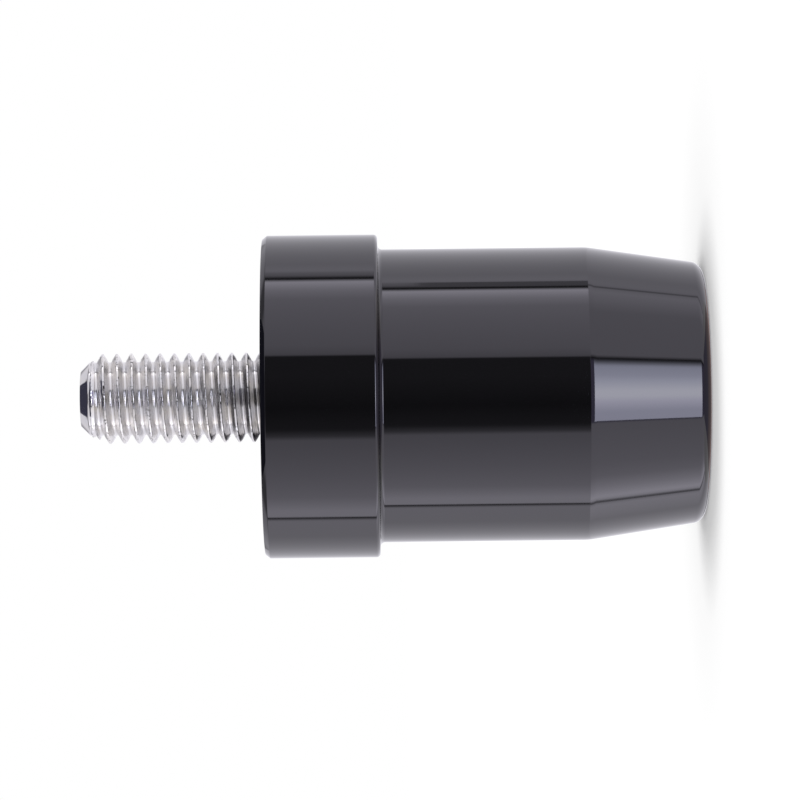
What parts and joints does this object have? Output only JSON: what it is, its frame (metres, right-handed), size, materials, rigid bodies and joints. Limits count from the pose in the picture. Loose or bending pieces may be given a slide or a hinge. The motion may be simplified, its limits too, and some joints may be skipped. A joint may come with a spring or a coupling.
{
  "type": "bar end weight",
  "caption": "Round turned handlebar end weight with a wide flange, a barrel and a tapered nose, fixed by a through screw whose thread stands out of the flange.",
  "frame": {"origin": "centre of the weight's outer end face, on which it stands", "axes": "+Z along the axis of turning, from the outer end towards the screw's tip; X points to a flat of the screw's hex socket"},
  "size_m": [0.0281, 0.028, 0.0542],
  "materials": {
    "black_anodised_aluminium": "turned and polished, then anodised gloss black",
    "stainless_steel": "bright, with a rolled thread"
  },
  "bodies": {
    "root": {"weight_body": "black_anodised_aluminium", "mounting_screw": "stainless_steel"}
  },
  "joints": []
}
